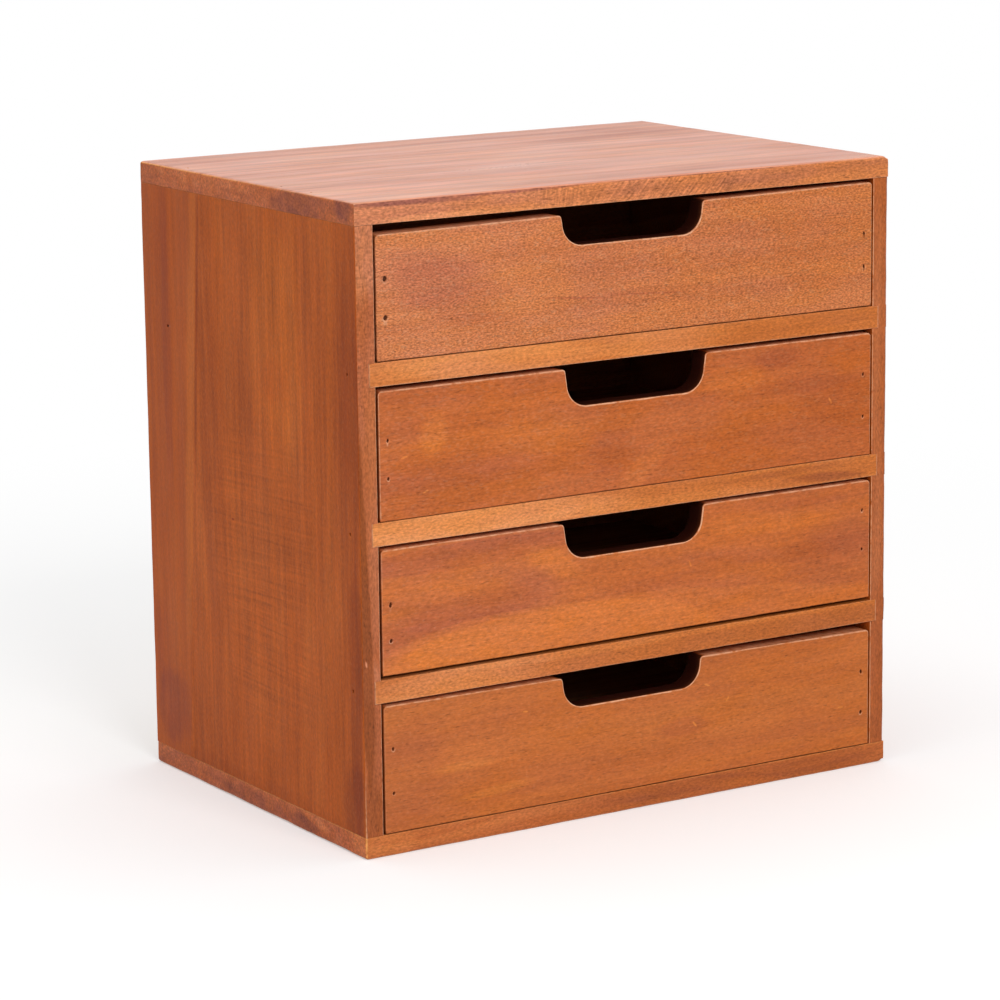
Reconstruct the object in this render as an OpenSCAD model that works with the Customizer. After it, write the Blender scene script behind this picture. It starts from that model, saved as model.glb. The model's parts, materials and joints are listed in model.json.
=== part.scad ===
// Desktop cabinet with four mini drawers, in stained solid wood.
// Millimetres. The origin is the middle of the underside, the fronts face -Y and +Z is up.
// The top and bottom boards lie over the ends of the sides, the dividers sit in grooves
// in the sides, and each drawer is a nailed box that slides on the board below it.

/* [Case] */
// Width of the case
case_w = 245; // [200:1:300]
// Depth of the case, front to back
case_d = 170; // [140:1:220]
// Height of the case
case_h = 248; // [215:1:300]
// Thickness of the side boards
side_t = 7.7; // [6.5:0.1:12]
// Thickness of the top board
top_t = 8.5; // [7:0.5:14]
// Thickness of the bottom board
bottom_t = 8.5; // [7:0.5:14]
// Thickness of the dividers between the drawers
divider_t = 9; // [6:0.5:12]
// Depth of the grooves in the sides that hold the dividers
housing_depth = 2.6; // [1.5:0.1:4]
// Distance of each side's glued seam from the back, at the top board
seam_top = 47; // [26:1:70]
// Distance of each side's glued seam from the back, at the bottom board
seam_bottom = 30; // [26:1:70]

/* [Plywood back] */
// Thickness of the plywood back
back_t = 3; // [2:0.5:5]
// How far the plywood back laps onto the boards around it
back_lap = 4; // [3:0.1:5]
// Clearance around the edges of the plywood back
back_fit = 0.2; // [0.1:0.1:0.5]

/* [Rounded edges] */
// Rounding of the top board along its front
top_front_round = 2; // [0.5:0.1:4]
// Rounding of the bottom board along its front
bottom_front_round = 1.2; // [0.5:0.1:4]
// Rounding of the top and bottom boards along their left ends
left_round = 1.6; // [0.5:0.1:4]
// Rounding of the top and bottom boards along their right ends
right_round = 3; // [0.5:0.1:4]
// Rounding of the four upright corners, and of the edges at the back
corner_round = 1; // [0.3:0.1:2]

/* [Drawer fronts] */
// Thickness of the drawer fronts
front_t = 9; // [7:0.5:12]
// Gap between a drawer and the case on the left
left_gap = 1; // [0.4:0.1:2]
// Gap between a drawer and the case on the right
right_gap = 0.7; // [0.4:0.1:2]
// Gap over each front at its left end, from the top drawer down
gaps_left = [3.9, 1.8, 1.6, 1.2]; // [0.8:0.1:5]
// Gap over each front at its right end, from the top drawer down
gaps_right = [1.4, 1.6, 1.4, 3.2]; // [0.8:0.1:5]
// Gap under each front, from the top drawer down
gaps_under = [0.3, 0.2, 1.4, 0.3]; // [0.2:0.1:2]
// Rounding of the corners along the top of each front
front_corner_r = 1.5; // [0.5:0.1:3]

/* [Finger cut-outs] */
// Width of each finger cut-out, at the top edge of the front
notch_w = 65; // [45:1:90]
// Depth of each finger cut-out, from the top drawer down
notch_depths = [12.2, 14.8, 14, 12.1]; // [11:0.1:18]
// How far each finger cut-out lies to the right of the middle, from the top drawer down
notch_shifts = [-0.2, 1, -0.2, -1.5]; // [-5:0.1:5]
// Radius of the lower corners of the finger cut-outs
notch_r = 9; // [4:0.5:10]
// Outward lean of the ends of the finger cut-outs, in degrees
notch_lean = 8; // [2:1:15]

/* [Drawer boxes] */
// Thickness of the drawer sides
drawer_side_t = 7.6; // [6:0.1:10]
// Thickness of the drawer backs
drawer_back_t = 7.6; // [6:0.1:10]
// Thickness of the plywood drawer bottoms
panel_t = 3; // [2:0.5:4]
// Depth of the grooves that hold the drawer bottoms
groove_depth = 3.5; // [2:0.5:4.5]
// Height of those grooves above the lower edge of the drawer
groove_rise = 4; // [3:0.5:6]
// Clearance between the edge of a drawer bottom and the end of its groove
panel_fit = 0.3; // [0.1:0.1:0.5]
// Distance of the top of the drawer sides below the opening
side_drop = 5; // [3:0.5:9]
// Clearance under a drawer
slide_gap = 0.1; // [0.05:0.05:0.3]
// Clearance between a closed drawer and the plywood back
stop_gap = 0.5; // [0.2:0.1:2]

/* [Brads] */
// Diameter of a brad
brad_d = 1.2; // [1:0.1:1.4]
// Length of a brad
brad_l = 20; // [16:1:24]
// Diameter of a brad's head
brad_head_d = 1.8; // [1.6:0.1:2.2]
// Thickness of a brad's head
brad_head_t = 0.6; // [0.4:0.1:1]
// Length of a brad's point
brad_point_l = 1.6; // [1:0.1:2.5]
// How deep the brads are punched below the surface
brad_sink = 1; // [0.5:0.1:1.4]
// Clearance of a brad in its hole, on the radius
brad_fit = 0.04; // [0.02:0.01:0.08]
// Distances of the brads in the top and bottom boards from the front
end_brads_front = [38, 61]; // [15:1:64]
// Distance of the rear brads in the top and bottom boards from the back
end_brad_back = 34; // [27:1:45]
// Distance of the brads in the dividers' ends from the front
divider_brad_front = 7.5; // [5:0.5:15]
// Distance of the brads in the dividers' ends from the back
divider_brad_back = 20; // [12:0.5:23]
// Distance between the brads along the top and bottom of the plywood back
back_brad_pitch = 70; // [40:1:90]
// Height of the lower brad at each front's left end, above the board below
brads_low_left = [16.4, 16.2, 14.6, 15.7]; // [12:0.1:20]
// Height of the lower brad at each front's right end, above the board below
brads_low_right = [16.4, 16, 21.7, 14]; // [12:0.1:22]
// Depth of the upper brad at each front's left end, below the board above
brads_high_left = [20.2, 20.4, 22.6, 18.1]; // [9:0.1:24]
// Depth of the upper brad at each front's right end, below the board above
brads_high_right = [21.4, 18, 13.3, 20.1]; // [9:0.1:24]
// Height of the lower brads in the drawer backs, above the board below
rear_brad_low = 15; // [12:0.5:18]
// Depth of the upper brads in the drawer backs, below the board above
rear_brad_high = 15; // [12:0.5:18]

/* [Hidden] */

$fn = 48;
drawers = 4;
left = -1;
right = 1;
// How far a cutting shape reaches past the face it cuts
past = 1;
// How far a rounded corner is set into its two edges, so that it crosses them
set_in = 0.005;

// Faces of the case
front_y = -case_d / 2;
rear_y = case_d / 2;
inner_w = case_w - 2 * side_t;
side_top = case_h - top_t;

// Four equal bays, counted from the top
bay_h = (side_top - bottom_t - (drawers - 1) * divider_t) / drawers;
function bay_top(i) = side_top - i * (bay_h + divider_t);
function bay_floor(i) = bay_top(i) - bay_h;

// Outer faces of every drawer
drawer_left = left_gap - inner_w / 2;
drawer_right = inner_w / 2 - right_gap;
drawer_rear = rear_y - back_t - stop_gap;

// Places of the brads along the depth of the case
end_brad_ys = [for (d = end_brads_front) front_y + d, rear_y - end_brad_back];
divider_brad_ys = [front_y + divider_brad_front, rear_y - divider_brad_back];

// Stained wood and plain wood, as the finish shows them
stain_top = "#c98a68";
stain_side = "#9a4f2a";
stain_front = "#c06f3e";
plain_wood = "#c8935f";
plywood = "#c9a374";
steel = "#8d8d90";

// ---------------------------------------------------------------- rounded edges

// What a rounding takes off an upright edge at the origin, from height 0 to l.
// The wood lies towards +X +Y, turned by a number of quarters.
module rounding(r, l, quarters) {
    rotate([0, 0, 90 * quarters]) difference() {
        translate([-past, -past, -past]) cube([r + past, r + past, l + 2 * past]);
        translate([r, r, -2 * past]) cylinder(r = r, h = l + 4 * past);
    }
}

// A rounding of an edge that runs left to right, with the wood towards +Y +Z
module rounding_across(r, y, z, quarters) {
    translate([-case_w / 2, y, z]) rotate([90, 0, 90]) rounding(r, case_w, quarters);
}

// A rounding of an edge that runs front to back, with the wood towards +X +Z
module rounding_along(r, x, z, quarters) {
    translate([x, rear_y, z]) rotate([90, 0, 0]) rounding(r, case_d, quarters);
}

// The four upright corners of the case
module corner_roundings() {
    translate([-case_w / 2, front_y, 0]) rounding(corner_round, case_h, 0);
    translate([case_w / 2, front_y, 0]) rounding(corner_round, case_h, 1);
    translate([case_w / 2, rear_y, 0]) rounding(corner_round, case_h, 2);
    translate([-case_w / 2, rear_y, 0]) rounding(corner_round, case_h, 3);
}

// ---------------------------------------------------------------- brads

// A brad driven down from a surface at height 0, its head punched below it
module brad() {
    shank_top = -brad_sink - brad_head_t;
    point = -brad_sink - brad_l;
    translate([0, 0, shank_top]) cylinder(d = brad_head_d, h = brad_head_t);
    translate([0, 0, point + brad_point_l]) cylinder(d = brad_d, h = shank_top - point - brad_point_l);
    translate([0, 0, point]) cylinder(d1 = brad_d / 4, d2 = brad_d, h = brad_point_l);
}

// The hole that a brad makes: its head seats on the step
module brad_hole() {
    head_seat = -brad_sink - brad_head_t;
    hole_end = -brad_sink - brad_l - brad_fit;
    translate([0, 0, head_seat]) cylinder(d = brad_head_d + 2 * brad_fit, h = past - head_seat);
    translate([0, 0, hole_end]) cylinder(d = brad_d + 2 * brad_fit, h = past - hole_end);
}

// Down through the top board into the ends of the sides
module at_top_brads() {
    for (hand = [left, right], y = end_brad_ys)
        translate([hand * (case_w - side_t) / 2, y, case_h]) children();
}

// Up through the bottom board into the ends of the sides
module at_bottom_brads() {
    for (hand = [left, right], y = end_brad_ys)
        translate([hand * (case_w - side_t) / 2, y, 0]) rotate([180, 0, 0]) children();
}

// Through one side into the ends of the dividers
module at_side_brads(hand) {
    for (i = [0 : drawers - 2], y = divider_brad_ys)
        translate([hand * case_w / 2, y, bay_floor(i) - divider_t / 2]) rotate([0, hand * 90, 0]) children();
}

// Through the plywood back into the boards around it
module at_back_brads() {
    for (hand = [left, right], i = [0 : drawers - 1])
        translate([hand * (inner_w + back_lap) / 2, rear_y, bay_floor(i) + bay_h / 2])
            rotate([-90, 0, 0]) children();
    for (x = [-back_brad_pitch, 0, back_brad_pitch], z = [bottom_t - back_lap / 2, side_top + back_lap / 2])
        translate([x, rear_y, z]) rotate([-90, 0, 0]) children();
}

// ---------------------------------------------------------------- case

// The space that the plywood back takes, with extra room around its edges
module back_space(room) {
    half_w = inner_w / 2 + back_lap + room;
    low = bottom_t - back_lap - room;
    high = side_top + back_lap + room;
    translate([-half_w, rear_y - back_t, low]) cube([2 * half_w, back_t + room, high - low]);
}

module top_board() {
    color(stain_top) difference() {
        translate([-case_w / 2, front_y, side_top]) cube([case_w, case_d, top_t]);
        rounding_across(top_front_round, front_y, case_h, 3);
        rounding_across(corner_round, rear_y, case_h, 2);
        rounding_along(left_round, -case_w / 2, case_h, 3);
        rounding_along(right_round, case_w / 2, case_h, 2);
        corner_roundings();
        back_space(back_fit);
        at_top_brads() brad_hole();
        at_back_brads() brad_hole();
    }
}

module bottom_board() {
    color(stain_front) difference() {
        translate([-case_w / 2, front_y, 0]) cube([case_w, case_d, bottom_t]);
        rounding_across(bottom_front_round, front_y, 0, 0);
        rounding_across(corner_round, rear_y, 0, 1);
        rounding_along(left_round, -case_w / 2, 0, 0);
        rounding_along(right_round, case_w / 2, 0, 1);
        corner_roundings();
        back_space(back_fit);
        at_bottom_brads() brad_hole();
        at_back_brads() brad_hole();
    }
}

// Outline of the front or the rear stave of a side, as [depth, height] points.
// The seam between them slants a little from the bottom board to the top board.
function stave_outline(edge_y) = [
    [edge_y, bottom_t],
    [rear_y - seam_bottom, bottom_t],
    [rear_y - seam_top, side_top],
    [edge_y, side_top]
];

// One stave of a side: edge_y is its front edge or its rear edge
module stave(hand, edge_y) {
    color(stain_side) difference() {
        translate([hand == left ? -case_w / 2 : case_w / 2 - side_t, 0, 0])
            rotate([90, 0, 90]) linear_extrude(side_t) polygon(stave_outline(edge_y));
        for (i = [0 : drawers - 2]) divider_space(i);
        corner_roundings();
        back_space(back_fit);
        at_top_brads() brad_hole();
        at_bottom_brads() brad_hole();
        at_side_brads(hand) brad_hole();
        at_back_brads() brad_hole();
    }
}

// The space that a divider takes, its ends in the grooves of the sides
module divider_space(i) {
    length = inner_w + 2 * housing_depth;
    translate([-length / 2, front_y, bay_floor(i) - divider_t]) cube([length, case_d - back_t, divider_t]);
}

module divider(i) {
    color(stain_front) difference() {
        divider_space(i);
        at_side_brads(left) brad_hole();
        at_side_brads(right) brad_hole();
    }
}

module back_panel() {
    color(plywood) difference() {
        back_space(0);
        at_back_brads() brad_hole();
    }
}

// ---------------------------------------------------------------- drawers

// Height of the top edge of a front at a place along its width
function front_top(i, x) =
    bay_top(i) - gaps_left[i]
    + (gaps_left[i] - gaps_right[i]) * (x - drawer_left) / (drawer_right - drawer_left);

// Floor of a finger cut-out, and where its two ends meet the top edge
function notch_floor(i) = front_top(i, notch_shifts[i]) - notch_depths[i];
function notch_mouth(i, hand) =
    let (x = notch_shifts[i] + hand * notch_w / 2)
    [x, front_top(i, x)];

// Where the leaning end of a cut-out runs into its round lower corner
function notch_turn(i, hand) =
    let (mouth = notch_mouth(i, hand), z = notch_floor(i) + notch_r)
    [mouth[0] - hand * tan(notch_lean) * (mouth[1] - z), z];

// Outline of a finger cut-out, which goes on above the front
module notch_outline(i) {
    turn_l = notch_turn(i, left);
    turn_r = notch_turn(i, right);
    rise = notch_depths[i] + past;
    spread = tan(notch_lean) * rise;
    polygon([turn_l, turn_r, turn_r + [spread, rise], turn_l + [-spread, rise]]);
    translate([turn_l[0] + notch_r, notch_floor(i)])
        square([turn_r[0] - turn_l[0] - 2 * notch_r, notch_r + past]);
    translate(turn_l + [notch_r, 0]) circle(r = notch_r);
    translate(turn_r - [notch_r, 0]) circle(r = notch_r);
}

// What a rounding of radius r takes off a flat outline's corner at p, where its
// edges leave p along the unit vectors a and b
module corner_cut(p, a, b, r) {
    half = acos(a * b) / 2;
    middle = (a + b) / norm(a + b);
    reach = r / tan(half);
    centre = p + middle * r / sin(half);
    difference() {
        polygon([p + a * reach, centre, p + b * reach, p - middle * past]);
        translate(centre) circle(r = r + set_in);
    }
}

module front_outline(i) {
    low = bay_floor(i) + gaps_under[i];
    top_l = [drawer_left, front_top(i, drawer_left)];
    top_r = [drawer_right, front_top(i, drawer_right)];
    along = (top_r - top_l) / norm(top_r - top_l);
    down = [0, -1];
    difference() {
        polygon([[drawer_left, low], [drawer_right, low], top_r, top_l]);
        notch_outline(i);
        corner_cut(top_l, along, down, front_corner_r);
        corner_cut(top_r, -along, down, front_corner_r);
        corner_cut(notch_mouth(i, left), -along, [sin(notch_lean), -cos(notch_lean)], front_corner_r);
        corner_cut(notch_mouth(i, right), along, [-sin(notch_lean), -cos(notch_lean)], front_corner_r);
    }
}

// Through the front into the ends of the drawer's sides
module at_front_brads(i) {
    left_x = drawer_left + drawer_side_t / 2;
    right_x = drawer_right - drawer_side_t / 2;
    places = [
        [left_x, bay_floor(i) + brads_low_left[i]],
        [left_x, bay_top(i) - brads_high_left[i]],
        [right_x, bay_floor(i) + brads_low_right[i]],
        [right_x, bay_top(i) - brads_high_right[i]]
    ];
    for (p = places) translate([p[0], front_y, p[1]]) rotate([90, 0, 0]) children();
}

// Through the drawer's sides into the ends of its back
module at_rear_brads(i) {
    heights = [bay_floor(i) + rear_brad_low, bay_top(i) - rear_brad_high];
    for (hand = [left, right], z = heights)
        translate([hand == left ? drawer_left : drawer_right, drawer_rear - drawer_back_t / 2, z])
            rotate([0, hand * 90, 0]) children();
}

// The space that a drawer's plywood bottom takes, with extra room around its edges
module panel_space(i, room) {
    inset = drawer_side_t - groove_depth + panel_fit - room;
    x0 = drawer_left + inset;
    x1 = drawer_right - inset;
    y0 = front_y + front_t - groove_depth + panel_fit - room;
    y1 = drawer_rear - drawer_back_t + groove_depth - panel_fit + room;
    translate([x0, y0, bay_floor(i) + slide_gap + groove_rise]) cube([x1 - x0, y1 - y0, panel_t]);
}

// Height of a drawer's sides and back
side_h = bay_h - side_drop - slide_gap;

module drawer_front(i) {
    color(stain_front) difference() {
        translate([0, front_y + front_t, 0]) rotate([90, 0, 0]) linear_extrude(front_t) front_outline(i);
        panel_space(i, panel_fit);
        at_front_brads(i) brad_hole();
    }
}

module drawer_side(i, hand) {
    color(plain_wood) difference() {
        translate([
            hand == left ? drawer_left : drawer_right - drawer_side_t,
            front_y + front_t,
            bay_floor(i) + slide_gap
        ]) cube([drawer_side_t, drawer_rear - front_y - front_t, side_h]);
        panel_space(i, panel_fit);
        at_front_brads(i) brad_hole();
        at_rear_brads(i) brad_hole();
    }
}

module drawer_back(i) {
    color(plain_wood) difference() {
        translate([drawer_left + drawer_side_t, drawer_rear - drawer_back_t, bay_floor(i) + slide_gap])
            cube([drawer_right - drawer_left - 2 * drawer_side_t, drawer_back_t, side_h]);
        panel_space(i, panel_fit);
        at_rear_brads(i) brad_hole();
    }
}

module drawer_bottom(i) {
    color(plywood) panel_space(i, 0);
}

module drawer_brads(i) {
    color(steel) {
        at_front_brads(i) brad();
        at_rear_brads(i) brad();
    }
}

// ---------------------------------------------------------------- pieces

top_board();
bottom_board();
stave(left, front_y);  // left_side_front_stave
stave(left, rear_y);  // left_side_rear_stave
stave(right, front_y);  // right_side_front_stave
stave(right, rear_y);  // right_side_rear_stave
divider(0);  // upper_divider
divider(1);  // middle_divider
divider(2);  // lower_divider
back_panel();
color(steel) at_top_brads() brad();  // top_brads
color(steel) at_bottom_brads() brad();  // bottom_brads
color(steel) at_side_brads(left) brad();  // left_side_brads
color(steel) at_side_brads(right) brad();  // right_side_brads
color(steel) at_back_brads() brad();  // back_brads

drawer_front(0);  // drawer_1_front
drawer_side(0, left);  // drawer_1_left_side
drawer_side(0, right);  // drawer_1_right_side
drawer_back(0);  // drawer_1_back
drawer_bottom(0);  // drawer_1_bottom
drawer_brads(0);  // drawer_1_brads

drawer_front(1);  // drawer_2_front
drawer_side(1, left);  // drawer_2_left_side
drawer_side(1, right);  // drawer_2_right_side
drawer_back(1);  // drawer_2_back
drawer_bottom(1);  // drawer_2_bottom
drawer_brads(1);  // drawer_2_brads

drawer_front(2);  // drawer_3_front
drawer_side(2, left);  // drawer_3_left_side
drawer_side(2, right);  // drawer_3_right_side
drawer_back(2);  // drawer_3_back
drawer_bottom(2);  // drawer_3_bottom
drawer_brads(2);  // drawer_3_brads

drawer_front(3);  // drawer_4_front
drawer_side(3, left);  // drawer_4_left_side
drawer_side(3, right);  // drawer_4_right_side
drawer_back(3);  // drawer_4_back
drawer_bottom(3);  // drawer_4_bottom
drawer_brads(3);  // drawer_4_brads
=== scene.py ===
"""The looks of a desktop cabinet with four mini drawers, in orange-brown stained wood.

Every visible board is built again here over its CAD node, with rubbed, slightly uneven arrises,
painted pale as wear and in part as a painted highlight, and punched brad slits. Shapes are
worked out in millimetres, x to the right, y to the back and z up, as in the frame; add_piece()
turns them into metres.
"""
import json
import math

import bpy
import numpy as np
from mathutils import Matrix, Vector

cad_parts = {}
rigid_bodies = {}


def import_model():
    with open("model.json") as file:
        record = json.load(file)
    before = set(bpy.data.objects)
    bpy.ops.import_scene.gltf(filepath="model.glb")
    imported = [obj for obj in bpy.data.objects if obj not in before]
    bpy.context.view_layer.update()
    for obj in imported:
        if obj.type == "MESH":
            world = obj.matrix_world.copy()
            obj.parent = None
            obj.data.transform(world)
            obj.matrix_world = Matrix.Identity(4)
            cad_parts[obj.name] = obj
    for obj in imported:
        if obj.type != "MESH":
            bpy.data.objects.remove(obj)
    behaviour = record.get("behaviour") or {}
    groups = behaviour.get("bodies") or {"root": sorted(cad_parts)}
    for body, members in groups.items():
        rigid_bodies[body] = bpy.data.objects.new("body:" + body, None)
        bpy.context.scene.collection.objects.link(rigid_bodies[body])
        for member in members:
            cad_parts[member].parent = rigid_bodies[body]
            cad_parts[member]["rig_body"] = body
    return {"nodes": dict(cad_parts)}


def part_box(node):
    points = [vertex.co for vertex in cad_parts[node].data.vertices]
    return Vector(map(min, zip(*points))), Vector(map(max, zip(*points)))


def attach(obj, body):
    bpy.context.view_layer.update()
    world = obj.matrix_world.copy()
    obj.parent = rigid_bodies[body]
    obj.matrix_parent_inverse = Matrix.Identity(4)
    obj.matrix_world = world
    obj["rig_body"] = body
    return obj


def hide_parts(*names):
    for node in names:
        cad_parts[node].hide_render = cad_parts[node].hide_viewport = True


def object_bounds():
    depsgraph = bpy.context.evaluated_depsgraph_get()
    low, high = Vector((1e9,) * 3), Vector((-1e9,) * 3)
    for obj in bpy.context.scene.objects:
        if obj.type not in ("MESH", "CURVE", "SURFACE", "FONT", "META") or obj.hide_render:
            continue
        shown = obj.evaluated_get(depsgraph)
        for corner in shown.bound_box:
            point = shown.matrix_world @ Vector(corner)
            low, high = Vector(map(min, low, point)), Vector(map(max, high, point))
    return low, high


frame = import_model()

cad_low, cad_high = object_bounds()

MM = 0.001
X, Y, Z = range(3)

# ---------------------------------------------------------------- sizes

def box(node):
    """Lowest and highest corner of a CAD node, in millimetres."""
    low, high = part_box(node)
    return np.array(low) / MM, np.array(high) / MM


CASE_LOW = np.array(cad_low) / MM
CASE_HIGH = np.array(cad_high) / MM
FRONT_Y = CASE_LOW[Y]
REAR_Y = CASE_HIGH[Y]

# Openings for the drawers, from the top drawer down, as (floor, ceiling)
SHELVES = ["top_board", "upper_divider", "middle_divider", "lower_divider", "bottom_board"]
BAYS = [(box(below)[1][Z], box(above)[0][Z]) for above, below in zip(SHELVES, SHELVES[1:])]

# What each drawer front has of its own, from the top drawer down: the gaps over its two ends,
# its cut-out's depth and place along the front, its brads' heights at the two ends, the lower
# one above the bay's floor and the upper one below the bay's ceiling, how big their slits are at
# the two ends, and how worn its left arris is
FRONTS = [
    {"gaps": (3.9, 1.4), "depth": 12.2, "shift": -0.2, "low": (16.4, 16.4), "high": (20.2, 21.4),
     "marks": (1.35, 0.8), "left_wear": 0.1},
    {"gaps": (1.8, 1.6), "depth": 14.8, "shift": 1.0, "low": (16.2, 16.0), "high": (20.4, 18.0),
     "marks": (0.75, 0.75), "left_wear": 0.9},
    {"gaps": (1.6, 1.4), "depth": 14.0, "shift": -0.2, "low": (14.6, 21.7), "high": (22.6, 13.3),
     "marks": (0.95, 0.75), "left_wear": 0.5},
    {"gaps": (1.2, 3.2), "depth": 12.1, "shift": -1.5, "low": (15.7, 14.0), "high": (18.1, 20.1),
     "marks": (0.85, 0.9), "left_wear": 0.2},
]
NOTCH_WIDTH = 65.0
NOTCH_RADIUS = 9.0
NOTCH_LEAN = math.radians(8)
FRONT_CORNER = 1.5

# Points on the arc of a front's corner and of its cut-out's corner
CORNER_POINTS = 9
NOTCH_POINTS = 17

# A front's rubbed arrises, before and behind, and how far they may reach into its thickness
FORE_ARRIS = 0.42
BACK_ARRIS = 0.4
ARRIS_DEPTH = 1.2

# Wear on a front from ring to ring, going in from its face: six rings round the fore arris, two
# across the thickness and six round the back one. They lie along the top, down the two ends,
# along the bottom and round the cut-out. Above 0 the arris is rubbed pale, which is wear and in
# part a painted highlight, most of all round the cut-out. Below 0 is painted shade: dark in the
# gaps at the two ends and under the bottom, where the ends' end grain also takes up more stain,
# and on the walls of the cut-out.
TOP_WEAR = np.array([[0.3, 0.6, 0.7, 0.7, 0.6, 0.5] + [0.5] * 2 + [0.3] * 6]).T
END_WEAR_AND_GAP_SHADE = np.array([[0.2, 0.5, 0.6, 0.4, 0.0, -0.4] + [-0.7] * 2 + [-0.5] * 6]).T
BOTTOM_WEAR_AND_GAP_SHADE = np.array([[0.0, -0.1, -0.3, -0.5, -0.7, -0.8] + [-0.8] * 2 + [-0.5] * 6]).T
NOTCH_WEAR_AND_PAINTED_LIGHT = np.array([[0.5, 0.9, 1, 0.7, 0.0, -0.92] + [-1] * 8]).T

# Where one of these fades into the next: from an end or the bottom, and beyond the cut-out's
# half width, whose outline lies at least this high above the bottom
WEAR_FADE = (0.1, 1.8)
NOTCH_FADE = np.array([0.6, 3])
NOTCH_ABOVE = 9

# Brads in the ends of the sides and of the dividers
END_BRADS_FRONT = (38.0, 61.0)
END_BRAD_BACK = 34.0
DIVIDER_BRAD_FRONT = 7.5
DIVIDER_BRAD_BACK = 20.0
REAR_BRAD = 15.0

# A brad's slit in a drawer front, and how big the other boards' slits are beside it
SLIT_WIDTH = 1.25
SLIT_LENGTH = 2.1
SLIT_DEPTH = 0.95
BOARD_SLIT_SHARE = 0.7

# Grid lines near a board's edges and across a brad's slit, and half the width of a step's wall
EDGE_LINES = np.array([0, 0.1, 0.22, 0.36, 0.54, 0.78, 1.1, 1.5, 2.05, 2.7, 3.4])
MARK_LINES = np.linspace(-1.7, 1.7, 18)
HAIR = 0.02

# How uneven the worn arrises are, as a share of their radius, the radius where that stops, and
# the lengths of the slow and the quick waves along a board and round a drawer front
UNEVEN = 0.3
UNEVEN_UP_TO = 0.8
BOARD_WAVES = (11.0, 3.1)
FRONT_WAVES = (9.0, 2.7)


# ---------------------------------------------------------------- shapes

WOBBLE_HEIGHTS = 512


def soft_step(value, start, end):
    """0 before start, 1 after end, and 3s^2 - 2s^3 in between."""
    share = np.clip((value - start) / (end - start), 0, 1)
    return share * share * (3 - 2 * share)


def wobble(t, seed, length):
    """A smooth uneven line over t: random heights, one every length mm, joined by soft steps.
    The heights start well before 0 and repeat far past the ends of the boards."""
    heights = np.random.default_rng(seed).uniform(-1, 1, WOBBLE_HEIGHTS)
    place = t / length + 200
    index = np.floor(place).astype(int) % (WOBBLE_HEIGHTS - 1)
    share = soft_step(place - np.floor(place), 0, 1)
    return heights[index] * (1 - share) + heights[index + 1] * share


def lines(low, high, step, marks=(), cuts=()):
    """Grid lines from low to high: one every step, closer ones near both ends and across each
    mark, and two a hair apart at each cut."""
    count = max(2, int(round((high - low) / step)) + 1)
    runs = [np.linspace(low, high, count), low + EDGE_LINES, high - EDGE_LINES]
    runs += [mark + MARK_LINES for mark in marks]
    found = np.unique(np.round(np.concatenate(runs), 3))
    found = found[(found >= low) & (found <= high)]
    found = found[np.concatenate([[True], np.diff(found) > 2 * HAIR])]
    found[-1] = high
    for cut in cuts:
        found = found[np.abs(found - cut) > 3 * HAIR]
        found = np.concatenate([found, [cut - HAIR, cut + HAIR]])
    return np.sort(found)


def box_grid(grid):
    """The closed skin of a box, and each quad's face as a number of FACES. grid holds the lines
    along x, y and z; a vertex sits wherever two lines meet on a face, and the faces share their
    vertices along the edges."""
    counts = [len(line) for line in grid]
    quads, sides = [], []
    for axis in range(3):
        a, b = (axis + 1) % 3, (axis + 2) % 3
        i, j = np.meshgrid(np.arange(counts[a] - 1), np.arange(counts[b] - 1), indexing="ij")
        for side in (0, counts[axis] - 1):
            ring = []
            for step_a, step_b in ((0, 0), (1, 0), (1, 1), (0, 1)):
                at = [0, 0, 0]
                at[axis] = np.full(i.shape, side)
                at[a] = i + step_a
                at[b] = j + step_b
                ring.append(at[0] + counts[0] * (at[1] + counts[1] * at[2]))
            face = np.stack(ring, -1).reshape(-1, 4)
            quads.append(face if side else face[:, ::-1])
            sides.append(np.full(len(face), 2 * axis + (side > 0)))
    used, quads = np.unique(np.concatenate(quads), return_inverse=True)
    index = [used % counts[0], used // counts[0] % counts[1], used // (counts[0] * counts[1])]
    points = np.stack([line[k] for line, k in zip(grid, index)], 1).astype(float)
    return points, quads.reshape(-1, 4), np.concatenate(sides)


# A board's faces by name: the axis that each is square to, and whether it is the high one
FACES = {
    "left": (X, 0), "right": (X, 1), "front": (Y, 0), "rear": (Y, 1), "under": (Z, 0), "top": (Z, 1),
}


def face_distance(points, low, high, face):
    """How far each point lies inside a board's named face."""
    axis, is_high = FACES[face]
    return high[axis] - points[:, axis] if is_high else points[:, axis] - low[axis]


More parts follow.
